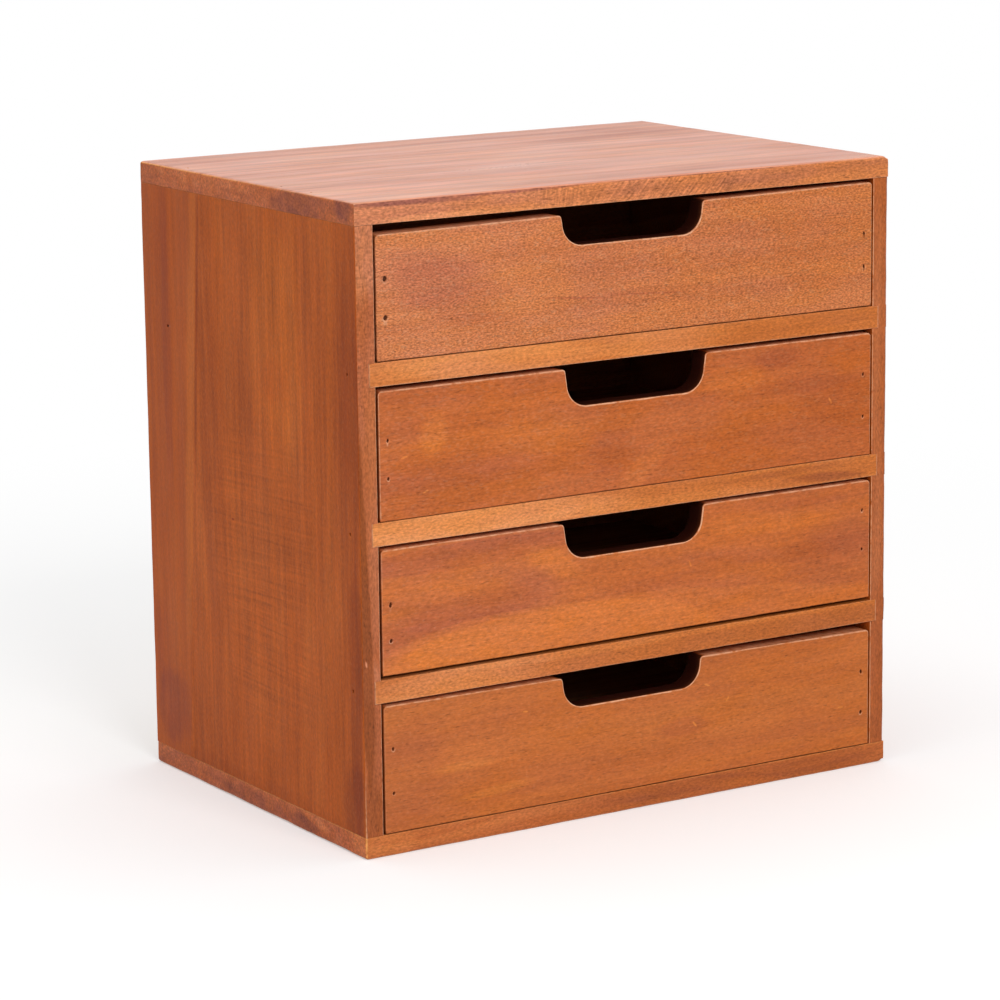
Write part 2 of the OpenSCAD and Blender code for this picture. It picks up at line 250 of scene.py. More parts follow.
def round_edges(points, low, high, edges, seed):
    """Rounds the named edges, in place, and returns how far each point is rubbed pale, from 0 to
    1, which is wear and in part a painted highlight.

    Near an edge of radius r, a point's shares U and V of the way from the round's centre to
    the two faces are drawn in by max(U, V) / hypot(U, V), which carries the square corner onto
    a quarter disc. The radius changes slowly along the edge. edges gives each edge its radius
    and its wear, or its wear at the low and at the high end."""
    wear_and_painted_light = np.zeros(len(points))
    for number, (faces, (radius, *wears)) in enumerate(edges.items()):
        face_a, face_b = faces.split()
        axis = 3 - FACES[face_a][0] - FACES[face_b][0]
        along = points[:, axis]
        wear = wears[0] + (wears[-1] - wears[0]) * (along - low[axis]) / (high[axis] - low[axis])
        slow = wobble(along, seed + 10 * number, BOARD_WAVES[0])
        quick = wobble(along, seed + 10 * number + 5, BOARD_WAVES[1])
        r = radius + min(radius, UNEVEN_UP_TO) * UNEVEN * (slow + 0.5 * quick)
        u = face_distance(points, low, high, face_a)
        v = face_distance(points, low, high, face_b)
        reach = np.maximum(u, v)
        band = np.minimum(r, 0.9)
        wear_and_painted_light = np.maximum(wear_and_painted_light, wear * (1 - soft_step(reach, 0.3 * band, 0.85 * band + 0.1)))
        inside = reach < r
        share_u = 1 - u[inside] / r[inside]
        share_v = 1 - v[inside] / r[inside]
        pull = np.maximum(share_u, share_v) / np.hypot(share_u, share_v)
        for face, share in ((face_a, share_u), (face_b, share_v)):
            axis, is_high = FACES[face]
            depth = r[inside] * (1 - share * pull)
            points[inside, axis] = high[axis] - depth if is_high else low[axis] + depth
    return wear_and_painted_light


# Wood within this many millimetres of a face belongs to it, and how dark a slit's floor is
ON_FACE = 0.25
SLIT_DARK = 0.86


def punch_slits(points, wear_and_painted_light, slits, face_at, seed, rim_wear, shares):
    """Pushes a slit into a flat face for every brad, in place, with a floor painted dark and a pale rim
    under it.

    slits holds the brads' places. face_at is (axis, place, inward), the face's axis, where it
    is and the sign of the way into the wood. The depth falls off over the slit's oval, whose
    size has its own share."""
    axis, place, inward = face_at
    a, b = [k for k in range(3) if k != axis]
    rng = np.random.default_rng(seed)
    on_face = np.abs(points[:, axis] - place) < ON_FACE
    for slit, share in zip(slits, shares):
        tilt = rng.uniform(-0.4, 0.4)
        size = rng.uniform(0.7, 1.1) * share
        rim_share = rng.uniform(0.2, 1.0)
        da = points[:, a] - slit[a]
        db = points[:, b] - slit[b]
        across = (da * math.cos(tilt) + db * math.sin(tilt)) / (SLIT_WIDTH / 2 * share)
        along = (db * math.cos(tilt) - da * math.sin(tilt)) / (SLIT_LENGTH / 2 * size)
        oval = np.hypot(across, along)
        depth = SLIT_DEPTH * min(share, 1) * (1 - soft_step(oval, 0.6, 1.15)) * on_face
        points[:, axis] += inward * depth
        rim = (1 - soft_step(np.abs(oval - 1.35), 0.1, 0.4)) * soft_step(-along, -0.6, 0.6)
        bright = rim_wear * rim_share * rim * on_face
        wear_and_painted_light[:] = np.where(bright > 0.02, np.maximum(wear_and_painted_light, bright), wear_and_painted_light)
        wear_and_painted_light[:] = np.where(depth > 0.12, -SLIT_DARK * soft_step(depth, 0.1, 0.4), wear_and_painted_light)


def weld(points, quads, *values):
    """Joins vertices that lie within a thousandth of a millimetre of each other."""
    _, first, index = np.unique(np.round(points, 3), axis=0, return_index=True, return_inverse=True)
    quads = index.reshape(-1)[quads]
    return (points[first], quads, *(value[first] for value in values))


def grid_quads(rows, columns, start=0, wrap=False):
    """Quads of a grid of rows x columns vertices, closed round the columns where wrap is set."""
    i, j = np.meshgrid(np.arange(rows - 1), np.arange(columns - (not wrap)), indexing="ij")
    after = (j + 1) % columns
    ring = [i * columns + j, i * columns + after, (i + 1) * columns + after, (i + 1) * columns + j]
    return start + np.stack(ring, -1).reshape(-1, 4)


# ---------------------------------------------------------------- pieces

# Faces that meet at less than this are shaded as one
SMOOTH_BELOW = math.radians(42)


def add_piece(name, node, materials, points, quads, wear_and_painted_light, material_index=None):
    """Makes the mesh of a piece that stands for a CAD node and rides on the node's body. The
    value given for each point says how far the stain is rubbed pale, which is wear and in part a
    painted highlight, and below 0 how dark the wood is painted: painted shade in gaps and
    cut-outs, which also darkens end grain and slit floors."""
    mesh = bpy.data.meshes.new(name)
    mesh.vertices.add(len(points))
    mesh.vertices.foreach_set("co", (points * MM).astype(np.float32).ravel())
    mesh.loops.add(4 * len(quads))
    mesh.loops.foreach_set("vertex_index", quads.astype(np.int32).ravel())
    mesh.polygons.add(len(quads))
    mesh.polygons.foreach_set("loop_start", np.arange(0, 4 * len(quads), 4, dtype=np.int32))
    for material in materials:
        mesh.materials.append(material)
    if material_index is not None:
        mesh.polygons.foreach_set("material_index", material_index.astype(np.int32))
    mesh.update(calc_edges=True)
    mesh.attributes.new("wear_and_painted_light", "FLOAT", "POINT").data.foreach_set("value", wear_and_painted_light.astype(np.float32))
    mesh.shade_smooth()
    mesh.set_sharp_from_angle(angle=SMOOTH_BELOW)
    piece = bpy.data.objects.new(name, mesh)
    bpy.context.scene.collection.objects.link(piece)
    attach(piece, frame["nodes"][node]["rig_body"])
    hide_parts(node)
    return piece


def board(node, finishes, edges, seed, step=(2.0, 2.0, 2.0), marks=((), (), ()),
          cuts=((), (), ()), warp=None, slits=(), slit_face=None, rim_wear=0.25):
    """A board with rubbed arrises over the CAD node's box, painted pale as wear and in part as a
    painted highlight.

    The box's skin is a grid; its named edges are rounded, warp(points) then cuts its steps or
    slants its end, and slits are punched into slit_face. finishes holds the finish of every
    face under "all", and of single faces under their names."""
    low, high = box(node)
    grid = [lines(low[k], high[k], step[k], marks[k], cuts[k]) for k in range(3)]
    points, quads, sides = box_grid(grid)
    names = list(finishes)
    index = np.zeros(len(quads), int)
    for face, (axis, is_high) in FACES.items():
        if face in finishes:
            index[sides == 2 * axis + is_high] = names.index(face)
    wear_and_painted_light = round_edges(points, low, high, edges, seed)
    if warp:
        warp(points)
    if slits:
        punch_slits(points, wear_and_painted_light, slits, slit_face, seed, rim_wear, [BOARD_SLIT_SHARE] * len(slits))
    return add_piece(node + "_wood", node, list(finishes.values()), points, quads, wear_and_painted_light, index)


def squeeze(points, where, axis, keep_at, share):
    """Draws the chosen points towards keep_at along one axis, to share of their distance."""
    points[where, axis] = keep_at + (points[where, axis] - keep_at) * share


# Steps that let in the plywood back: how far it laps over the boards, and its front face
BACK_LOW, BACK_HIGH = box("back_panel")
BACK_ROOM = 0.2
LAP_LOW = BACK_LOW - BACK_ROOM
LAP_HIGH = BACK_HIGH + BACK_ROOM
LAP_FRONT = BACK_LOW[Y]


def in_lap(points):
    """The points behind the plywood's front face and within its width."""
    across = (points[:, X] > LAP_LOW[X]) & (points[:, X] < LAP_HIGH[X])
    return across & (points[:, Y] > LAP_FRONT)


# The radius and the wear of the top and bottom boards' edges, as round_edges() takes them
TOP_EDGES = {
    "front top": (1.6, -0.1, 0.25), "rear top": (1.0, 0.3), "left top": (1.3, 0.05, 0.9),
    "right top": (3.0, 0.3), "front left": (0.4, 0.2), "front right": (1.0, 0.4),
    "rear left": (1.0, 0.5), "rear right": (1.0, 0.5), "front under": (0.35, 0.7),
    "left under": (0.12, 0.5), "right under": (0.3, 0.2), "rear under": (0.2, 0.1),
}
BOTTOM_EDGES = {
    "front under": (1.2, 0.3), "rear under": (1.0, 0.4), "left under": (1.6, 0.3),
    # The front-left arris's full wear, with the base's golden pale, paints a highlight down that corner
    # as well as wear
    "right under": (3.0, 0.3), "front left": (1.3, 1.0), "front right": (1.0, 0.4),
    "rear left": (1.0, 0.5), "rear right": (1.0, 0.5), "front top": (0.3, 0.3, 0.5),
    "left top": (0.3, 0.7, 0.2), "right top": (0.3, 0.2), "rear top": (0.2, 0.1),
}


def add_cap(node, finishes, edges, seed, step, is_top):
    """The top or the bottom board, with brads into the sides' ends and a step for the plywood
    in the rear of its inner face."""
    low, high = box(node)
    stave_low, stave_high = box("left_side_front_stave")
    side_x = (stave_low[X] + stave_high[X]) / 2
    brad_ys = [FRONT_Y + d for d in END_BRADS_FRONT] + [REAR_Y - END_BRAD_BACK]
    outer_z = high[Z] if is_top else low[Z]
    lap_z = LAP_HIGH[Z] if is_top else LAP_LOW[Z]
    keep = abs(outer_z - lap_z) / (high[Z] - low[Z])
    board(node, finishes, edges, seed, step=step,
          marks=((-side_x, side_x), brad_ys, ()), cuts=((LAP_LOW[X], LAP_HIGH[X]), (LAP_FRONT,), ()),
          warp=lambda points: squeeze(points, in_lap(points), Z, outer_z, keep),
          slits=[(hand * side_x, y, outer_z) for hand in (-1, 1) for y in brad_ys],
          slit_face=(Z, outer_z, -1 if is_top else 1))


def add_stave(hand, part, finishes, seed):
    """One stave of a side: hand is left or right, part is front or rear."""
    node = f"{hand}_side_{part}_stave"
    low, high = box(node)
    thick, deep, tall = high - low
    is_left = hand == "left"
    inner = "right" if is_left else "left"
    other = "rear" if part == "front" else "front"
    outer_x, lap_x = (low[X], LAP_LOW[X]) if is_left else (high[X], LAP_HIGH[X])
    grooves = [(box(name)[0][Z], box(name)[1][Z]) for name in SHELVES[1:4]]
    groove_x = box("upper_divider")[0 if is_left else 1][X]
    slant = box(f"{hand}_side_rear_stave")[0][Y] - box(f"{hand}_side_front_stave")[1][Y]

    def shape(points):
        """Cuts the grooves and the step for the back, and slants the glued edge."""
        up = (points[:, Z] - low[Z]) / tall
        for groove_low, groove_high in grooves:
            inside = (points[:, Z] > groove_low) & (points[:, Z] < groove_high)
            inside &= points[:, Y] < LAP_FRONT
            squeeze(points, inside, X, outer_x, abs(groove_x - outer_x) / thick)
        if part == "rear":
            squeeze(points, points[:, Y] > LAP_FRONT, X, outer_x, abs(lap_x - outer_x) / thick)
            points[:, Y] -= (high[Y] - points[:, Y]) / deep * slant * (1 - up)
        else:
            points[:, Y] += (points[:, Y] - low[Y]) / deep * slant * up

    brad_y = FRONT_Y + DIVIDER_BRAD_FRONT if part == "front" else REAR_Y - DIVIDER_BRAD_BACK
    slits = [(outer_x, brad_y, (a + b) / 2) for a, b in grooves]
    outer_edge, inner_edge = (1.0, 0.5), (0.3, 0.2)
    if part == "front":
        # The left arris is painted pale at its foot only, as wear and in part as a painted highlight,
        # so its wear runs out far below 0
        outer_edge = (0.6, 0.8, -6.0) if is_left else (2.2, 0.2)
        inner_edge = (0.35, 0.8)
    # The wear on the outer top arris paints a pale line that offsets the shade in the seam under the
    # top board
    edges = {
        f"{part} {hand}": outer_edge, f"{part} {inner}": inner_edge,
        f"{other} {hand}": (0.1, 0.1), f"top {hand}": (0.1, 0.4), f"under {hand}": (0.3, 0.5),
    }
    board(node, finishes, edges, seed, step=(2.6, 3.0, 2.4),
          marks=((), (brad_y,), [slit[Z] for slit in slits]),
          cuts=((), (LAP_FRONT,) if part == "rear" else (), np.ravel(grooves)),
          warp=shape, slits=slits, slit_face=(X, outer_x, 1 if is_left else -1))


def add_divider(node, finishes, seed):
    """A shelf between two drawers, whose ends fill the grooves in the sides."""
    edges = {
        "front under": (0.4, 0.8, 0.5), "front top": (0.35, 0.1, 0.2),
        "front left": (0.35, 0.7), "front right": (0.2, 0.4),
        "rear under": (0.3, 0.2), "rear top": (0.3, 0.2),
    }
    board(node, finishes, edges, seed, step=(1.6, 3.0, 1.5))


def fillet(before, corner, after, radius, count):
    """The arc of a radius that touches both edges of a corner, from before's side to after's."""
    a = (before - corner) / np.linalg.norm(before - corner)
    b = (after - corner) / np.linalg.norm(after - corner)
    half = math.acos(a @ b) / 2
    centre = corner + (a + b) / np.linalg.norm(a + b) * radius / math.sin(half)
    start = corner + a * radius / math.tan(half) - centre
    end = corner + b * radius / math.tan(half) - centre
    first = math.atan2(start[1], start[0])
    sweep = (math.atan2(end[1], end[0]) - first + math.pi) % (2 * math.pi) - math.pi
    angles = first + sweep * np.linspace(0, 1, count)
    return centre + radius * np.stack([np.cos(angles), np.sin(angles)], 1)


def front_top_chain(number, left, right, marks):
    """The upper outline of a drawer front from left to right, as (x, z): its two rounded
    corners, its sloping top edge and its cut-out, whose x never turns back."""
    front = FRONTS[number]
    ceiling = BAYS[number][1]
    gap_left, gap_right = front["gaps"]

    def top(x):
        return ceiling - gap_left + (gap_left - gap_right) * (x - left) / (right - left)

    floor = top(front["shift"]) - front["depth"]
    mouths = [front["shift"] + hand * NOTCH_WIDTH / 2 for hand in (-1, 1)]
    lean = math.tan(NOTCH_LEAN)
    corners = np.array([
        (left, BAYS[number][0]),
        (left, top(left)),
        (mouths[0], top(mouths[0])),
        (mouths[0] + lean * (top(mouths[0]) - floor), floor),
        (mouths[1] - lean * (top(mouths[1]) - floor), floor),
        (mouths[1], top(mouths[1])),
        (right, top(right)),
        (right, BAYS[number][0]),
    ])
    ends, notch = [(FRONT_CORNER, CORNER_POINTS)] * 2, [(NOTCH_RADIUS, NOTCH_POINTS)] * 2
    arcs = [
        fillet(corners[k], corners[k + 1], corners[k + 2], radius, count)
        for k, (radius, count) in enumerate(ends + notch + ends)
    ]
    chain = np.concatenate(arcs)
    leans = [np.linspace(arcs[1][-1], arcs[2][0], 7), np.linspace(arcs[3][-1], arcs[4][0], 7)]
    wanted = lines(left, right, 1.6, marks)
    clear = np.min(np.abs(wanted[:, None] - chain[None, :, 0]), 1) > 0.12
    xs = np.unique(np.concatenate([chain[:, 0], wanted[clear], *(run[1:-1, 0] for run in leans)]))
    return np.stack([xs, np.interp(xs, chain[:, 0], chain[:, 1])], 1)


def inward_normals(chain):
    """Unit vectors square to a left-to-right chain, pointing down into the wood."""
    along = np.gradient(chain, axis=0)
    along /= np.linalg.norm(along, axis=1)[:, None]
    normals = np.stack([along[:, 1], -along[:, 0]], 1)
    normals[0] = (1, 0)
    normals[-1] = (-1, 0)
    return normals


def patch_between(bottom, top, left, right):
    """A Coons patch: the two ruled surfaces between facing edges, less the one through the
    four corners. Each edge is a run of (x, z) points; the result is rows x columns x 2."""
    u = ((bottom[:, 0] - bottom[0, 0]) / (bottom[-1, 0] - bottom[0, 0]))[None, :, None]
    v = ((left[:, 1] - left[0, 1]) / (left[-1, 1] - left[0, 1]))[:, None, None]
    ruled_up = (1 - v) * bottom[None] + v * top[None]
    ruled_across = (1 - u) * left[:, None] + u * right[:, None]
    low = (1 - u) * bottom[0] + u * bottom[-1]
    high = (1 - u) * top[0] + u * top[-1]
    return ruled_up + ruled_across - (1 - v) * low - v * high


def front_wear_and_painted_light(outline, low, high, front):
    """How far a front is rubbed pale, and below 0 painted dark, as rings x points of its outline. The
    pale is wear and in part a painted highlight; the dark is painted shade in the gaps round the
    ends and the bottom and on the cut-out's walls, and more stain in the ends' end grain. The wear
    along the top gives way to that of the ends, the bottom and the cut-out near each of them."""
    # How much each point of the outline belongs to an end, to the bottom and to the cut-out
    from_left, from_right = outline[:, 0] - low[0], high[0] - outline[:, 0]
    at_end = 1 - soft_step(np.minimum(from_left, from_right), *WEAR_FADE)
    end_share = np.where(from_left < from_right, front["left_wear"], 1)
    end_wear_and_shade = np.where(END_WEAR_AND_GAP_SHADE > 0, END_WEAR_AND_GAP_SHADE * end_share, END_WEAR_AND_GAP_SHADE)
    at_bottom = 1 - soft_step(outline[:, 1] - low[2], *WEAR_FADE)
    in_notch = 1 - soft_step(np.abs(outline[:, 0] - front["shift"]), *(NOTCH_WIDTH / 2 + NOTCH_FADE))
    in_notch *= outline[:, 1] > low[2] + NOTCH_ABOVE
    wear = np.broadcast_to(TOP_WEAR, (len(TOP_WEAR), len(outline)))
    for share, own_wear_and_shade in ((at_end, end_wear_and_shade), (at_bottom, BOTTOM_WEAR_AND_GAP_SHADE), (in_notch, NOTCH_WEAR_AND_PAINTED_LIGHT)):
        wear = wear + share * (own_wear_and_shade - wear)
    return wear


def add_drawer_front(number, material, seed):
    """A drawer front: its outline, inset along a quarter round at both faces, is carried
    through the thickness, and a patch closes each face."""
    node = f"drawer_{number + 1}_front"
    low, high = box(node)
    left, right = low[0], high[0]
    side_t = box(f"drawer_{number + 1}_left_side")[1][0] - left
    brad_xs = (left + side_t / 2, right - side_t / 2)
    bay_floor, bay_ceiling = BAYS[number]
    front = FRONTS[number]
    slits = [(x, low[1], bay_floor + up) for x, up in zip(brad_xs, front["low"])]
    slits += [(x, low[1], bay_ceiling - down) for x, down in zip(brad_xs, front["high"])]

    top = front_top_chain(number, left, right, brad_xs)
    heights = lines(low[2], min(top[0, 1], top[-1, 1]), 1.8, [slit[2] for slit in slits])
    share = (heights - heights[0]) / (heights[-1] - heights[0])
    bottom = np.stack([top[:, 0], np.full(len(top), low[2])], 1)
    side_l = np.stack([np.full(len(share), left), low[2] + share * (top[0, 1] - low[2])], 1)
    side_r = np.stack([np.full(len(share), right), low[2] + share * (top[-1, 1] - low[2])], 1)

    def inset(radius_of):
        """The four runs moved into the wood, each point by its own radius."""
        top_in = top + inward_normals(top) * radius_of(top)[:, None]
        left_r, right_r = radius_of(side_l), radius_of(side_r)
        bottom_in = np.stack([top_in[:, 0], low[2] + radius_of(bottom)], 1)
        left_in = np.stack([left + left_r, side_l[:, 1]], 1)
        right_in = np.stack([right - right_r, side_r[:, 1]], 1)
        left_in[0], right_in[0] = bottom_in[0], bottom_in[-1]
        left_in[-1], right_in[-1] = top_in[0], top_in[-1]
        # Near the bottom the runs climb a little at every step, so that no quad folds over
        climb = np.linspace(0, 1, len(share)) < 0.2
        left_in[climb, 1] = np.maximum(left_in[climb, 1], left_in[0, 1] + 0.3 * share[climb])
        right_in[climb, 1] = np.maximum(right_in[climb, 1], right_in[0, 1] + 0.3 * share[climb])
        return bottom_in, top_in, left_in, right_in

    def loop(bottom_run, top_run, left_run, right_run):
        """The runs as one loop, anticlockwise seen from the front."""
        return np.concatenate([bottom_run[:-1], right_run[:-1], top_run[:0:-1], left_run[:0:-1]])

    def arris(base, salt):
        """A radius that wanders along the outline."""
        def radius_of(run):
            place = run[:, 0] + 0.8 * run[:, 1]
            slow = wobble(place, seed + salt, FRONT_WAVES[0])
            quick = wobble(place, seed + salt + 1, FRONT_WAVES[1])
            return base * (1 + UNEVEN * slow + 0.5 * UNEVEN * quick)
        return radius_of

    fore_runs = inset(arris(FORE_ARRIS, 1))
    back_runs = inset(arris(BACK_ARRIS, 5))
    outer = loop(bottom, top, side_l, side_r)
    fore, back = loop(*fore_runs), loop(*back_runs)

    arc = np.linspace(0, math.pi / 2, 6)
    rings, depths = [], []
    fore_r = np.linalg.norm(fore - outer, axis=1)
    back_r = np.linalg.norm(back - outer, axis=1)
    for angle in arc:
        rings.append(outer + (fore - outer) * (1 - math.sin(angle)))
        depths.append(low[1] + np.minimum(fore_r, ARRIS_DEPTH) * (1 - math.cos(angle)))
    for share_y in (0.33, 0.67):
        rings.append(outer)
        depths.append(np.full(len(outer), low[1] + (high[1] - low[1]) * share_y))
    for angle in arc:
        rings.append(outer + (back - outer) * (1 - math.cos(angle)))
        depths.append(high[1] - np.minimum(back_r, ARRIS_DEPTH) * (1 - math.sin(angle)))
    skirt = np.stack([np.stack([ring[:, 0], y, ring[:, 1]], 1) for ring, y in zip(rings, depths)])

    wear = front_wear_and_painted_light(outer, low, high, front)

    faces = []
    for runs, y in ((fore_runs, low[1]), (back_runs, high[1])):
        patch = patch_between(*runs)
        faces.append(np.stack([patch[..., 0], np.full(patch.shape[:2], y), patch[..., 1]], -1))
    rows, columns = faces[0].shape[:2]
    below_top = fore_runs[1][None, :, 1] - faces[0][..., 2]
    face_wear = TOP_WEAR[0] * (1 - soft_step(below_top, 0.0, 0.22))

    points = np.concatenate([skirt.reshape(-1, 3), faces[0].reshape(-1, 3), faces[1].reshape(-1, 3)])
    wear_and_painted_light = np.concatenate([wear.ravel(), face_wear.ravel(), np.zeros(rows * columns)])
    start = skirt.shape[0] * skirt.shape[1]
    quads = np.concatenate([
        grid_quads(skirt.shape[0], skirt.shape[1], 0, wrap=True)[:, ::-1],
        grid_quads(rows, columns, start),
        grid_quads(rows, columns, start + rows * columns)[:, ::-1],
    ])
    punch_slits(points, wear_and_painted_light, slits, (1, low[1], 1), seed, 0.7, front["marks"] * 2)
    points, quads, wear_and_painted_light = weld(points, quads, wear_and_painted_light)
    add_piece(node + "_wood", node, [material], points, quads, wear_and_painted_light)


def add_drawer_box(number, material, seed):
    """A drawer's two sides and its back, with lightly broken edges."""
    name = f"drawer_{number + 1}"
    bay_floor, bay_ceiling = BAYS[number]
    rear_y = box(name + "_back")[0][1] / 2 + box(name + "_back")[1][1] / 2
    zs = (bay_floor + REAR_BRAD, bay_ceiling - REAR_BRAD)
    for hand, inner in (("left", "right"), ("right", "left")):
        node = f"{name}_{hand}_side"
        low, high = box(node)
        x = low[0] if hand == "left" else high[0]
        edges = {
            f"top {hand}": (0.8, 0.5), f"top {inner}": (0.8, 0.5), f"rear {hand}": (0.5, 0.3),
            f"under {hand}": (0.5, 0.4), f"under {inner}": (0.4, 0.2), "top rear": (0.5, 0.3),
        }
        board(node, {"all": material}, edges, seed, step=(3.8, 4.0, 3.5),
              marks=((), (rear_y,), zs), slits=[(x, rear_y, z) for z in zs],
              slit_face=(0, x, 1 if hand == "left" else -1))
    edges = {"top front": (0.8, 0.5), "top rear": (0.8, 0.5), "under rear": (0.4, 0.2)}
    board(name + "_back", {"all": material}, edges, seed + 50, step=(4.0, 3.8, 3.5))


# ---------------------------------------------------------------- materials

def srgb(red, green, blue):
    """A colour as it looks on screen, 0 to 255, turned into the shader's linear values."""
    share = np.array([red, green, blue]) / 255
    linear = np.where(share <= 0.04045, share / 12.92, ((share + 0.055) / 1.055) ** 2.4)
    return (*linear.tolist(), 1.0)


WHITE = (1, 1, 1, 1)


class Wiring:
    """Adds nodes to a new material or world. Each call returns the socket, or the node, that a
    later call can read."""

    def __init__(self, owner):
        self.owner = owner
        owner.use_nodes = True
        self.tree = owner.node_tree
        self.tree.nodes.clear()

    def node(self, kind, inputs=(), **settings):
        """A node whose inputs are fed by name or number."""
        made = self.tree.nodes.new("ShaderNode" + kind)
        for name, value in settings.items():
            setattr(made, name, value)
        for key, value in dict(inputs).items():
            self.feed(made.inputs[key], value)
        return made

    def feed(self, socket, value):
        """Links the socket to another one, or sets its own value."""
        if isinstance(value, bpy.types.NodeSocket):
            self.tree.links.new(value, socket)
        else:
            socket.default_value = value

    def math(self, operation, *values):
        made = self.node("Math", dict(enumerate(values)), operation=operation)
        return made.outputs[0]

    def add(self, first, second):
        return self.math("ADD", first, second)

    def times(self, first, second):
        return self.math("MULTIPLY", first, second)

    def times_add(self, value, factor, more):
        return self.math("MULTIPLY_ADD", value, factor, more)

    def vector(self, operation, *values):
        made = self.node("VectorMath", dict(enumerate(values)), operation=operation)
        return made.outputs["Value" if operation == "LENGTH" else "Vector"]

    def scaled(self, vector, factor):
        """A vector or colour times one number."""
        return self.vector("SCALE", vector, (0, 0, 0), (0, 0, 0), factor)

    def split(self, vector):
        return self.node("SeparateXYZ", {0: vector}).outputs

    def joined(self, *parts):
        return self.node("CombineXYZ", dict(enumerate(parts))).outputs[0]

    def noise(self, place, stretch, detail=2.0, roughness=0.5):
        """Noise from 0 to 1 over place, which is multiplied by stretch first."""
        spot = self.vector("MULTIPLY", place, stretch)
        inputs = {"Vector": spot, "Scale": 1.0, "Detail": detail, "Roughness": roughness}
        return self.node("TexNoise", inputs).outputs[0]

    def range(self, value, low, high, to_low=0.0, to_high=1.0):
        """value between low and high, carried softly onto to_low to to_high."""
        inputs = dict(enumerate((value, low, high, to_low, to_high)))
        return self.node("MapRange", inputs, interpolation_type="SMOOTHSTEP").outputs[0]

    def ramp(self, value, stops):
        """A colour ramp. stops holds (place, colour)."""
        made = self.node("ValToRGB", {"Fac": value})
        elements = made.color_ramp.elements
        elements[0].position, elements[0].color = stops[0]
        elements[1].position, elements[1].color = stops[-1]
        for place, colour in stops[1:-1]:
            elements.new(place).color = colour
        return made.outputs["Color"]

    def mix(self, share, first, second, blend="MIX"):
        """Two colours mixed, or the second laid over the first in another way."""
        made = self.node("Mix", data_type="RGBA", blend_type=blend)
        self.feed(made.inputs["Factor"], share)
        self.feed(made.inputs[6], first)
        self.feed(made.inputs[7], second)
        return made.outputs[2]

    def place(self, grain="x", shift=(0, 0, 0)):
        """Object coordinates in millimetres, turned so that the grain runs along the first."""
        where = self.scaled(self.node("TexCoord").outputs["Object"], 1 / MM)
        if grain == "z":
            parts = self.split(where)
            where = self.joined(parts[2], parts[1], parts[0])
        return self.vector("ADD", where, shift)

    def bump(self, height, distance, strength):
        inputs = {"Height": height, "Distance": distance, "Strength": strength}
        return self.node("Bump", inputs).outputs[0]

    def finish(self, inputs):
        """The material, once its one shader has these inputs."""
        shader = self.node("BsdfPrincipled", inputs)
        self.node("OutputMaterial", {"Surface": shader.outputs[0]})
        return self.owner


# How far out a patch's edge lies, as a share of its half size
PATCH_EDGE = 0.92


def patch_mask(w, where, place, size, turn, outline, soft=0.75):
    """1 inside an oval patch and 0 outside it. The noise outline moves its edge, which is soft
    over a share of the size. place and size are in millimetres and turn in degrees about the
    three axes."""
    angles = tuple(math.radians(angle) for angle in turn)
    inputs = {"Vector": where, "Location": place, "Rotation": angles, "Scale": size}
    local = w.node("Mapping", inputs, vector_type="TEXTURE").outputs[0]
    away = w.add(w.vector("LENGTH", local), outline)
    return w.range(away, PATCH_EDGE + soft / 2, PATCH_EDGE - soft / 2)


def centred(w, noise, gain):
    """A noise from 0 to 1, turned into one round 0 and multiplied by a gain."""
    return w.times_add(noise, gain, -gain / 2)


# What the stain's colour is multiplied by at the right end, and the two tints it drifts between
WARM_TINT = (0.95, 0.88, 0.68, 1.0)
BLUSH_TINTS = (1.0, 0.97, 0.78, 1.0), (0.99, 1.02, 1.26, 1.0)

# Pale specks, and a near black: painted shade in the gaps round the drawer fronts and on the
# walls of their cut-outs, which also stands for end grain that takes up all the stain it can and
# for the floors of brad slits
FLECK_COLOUR = srgb(246, 204, 164)
SOAKED_AND_SHADE_COLOUR = srgb(46, 17, 10)

# A patch with less softness than this has a smooth waving outline, and the others a ragged one
CRISP_BELOW = 0.2

# How far the grain stands out, in metres, and the strength of its relief
GRAIN_RELIEF = 0.00012
RELIEF_STRENGTH = 0.4


